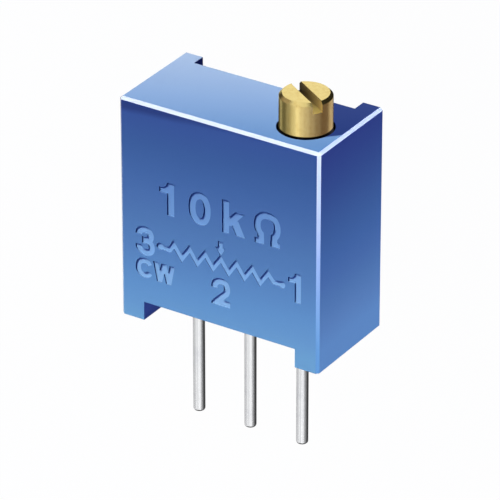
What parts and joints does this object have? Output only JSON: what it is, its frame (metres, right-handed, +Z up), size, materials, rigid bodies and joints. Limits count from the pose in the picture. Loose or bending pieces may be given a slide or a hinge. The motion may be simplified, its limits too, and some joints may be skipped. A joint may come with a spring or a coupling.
{
  "type": "trimmer potentiometer",
  "caption": "Flat square multi-turn trimmer potentiometer with a slotted brass adjusting screw on top and straight pins in line underneath.",
  "frame": {"origin": "on the middle pin's axis, at the seating plane under the feet", "axes": "+Z up towards the screw's head, -Y towards the marked face, +X towards the screw, pins in line along X"},
  "size_m": [0.0096, 0.0048, 0.0166],
  "materials": {
    "housing_plastic": "blue moulded thermosetting plastic, satin",
    "sealing_epoxy": "cream filled epoxy, poured",
    "screw_brass": "turned brass",
    "seal_rubber": "smooth",
    "clip_steel": "stamped",
    "gear_plastic": "natural moulded nylon",
    "contact_alloy": "stamped spring alloy",
    "alumina": "fired, unglazed",
    "cermet_film": "printed and fired",
    "silver_film": "printed and fired",
    "tinned_copper": "tinned copper wire",
    "solder_tin": "reflowed solder"
  },
  "bodies": {
    "body": {"housing": "housing_plastic", "back_seal": "sealing_epoxy", "retaining_clip": "clip_steel", "ceramic_base": "alumina", "resistive_track": "cermet_film", "collector_track": "silver_film", "end_track_1": "silver_film", "end_track_3": "silver_film", "pin_1": "tinned_copper", "pin_2": "tinned_copper", "pin_3": "tinned_copper", "solder_1": "solder_tin", "solder_2": "solder_tin", "solder_3": "solder_tin"},
    "screw": {"adjusting_screw": "screw_brass", "shaft_seal": "seal_rubber"},
    "gear": {"worm_gear": "gear_plastic", "wiper": "contact_alloy"}
  },
  "joints": [
    {"name": "screw_turn", "type": "hinge", "parent": "body", "child": "screw", "pos_m": [0.00302, -0.00063, 0], "axis": [0, 0, 1], "range_deg": [-4500, 4500]},
    {"name": "gear_turn", "type": "hinge", "parent": "body", "child": "gear", "pos_m": [-0.00058, 0, 0.0049], "axis": [0, 1, 0], "range_deg": [-140.7, 140.7]}
  ],
  "couplings": [
    {"joint": "gear_turn", "follows": "screw_turn", "ratio": 0.03125}
  ]
}
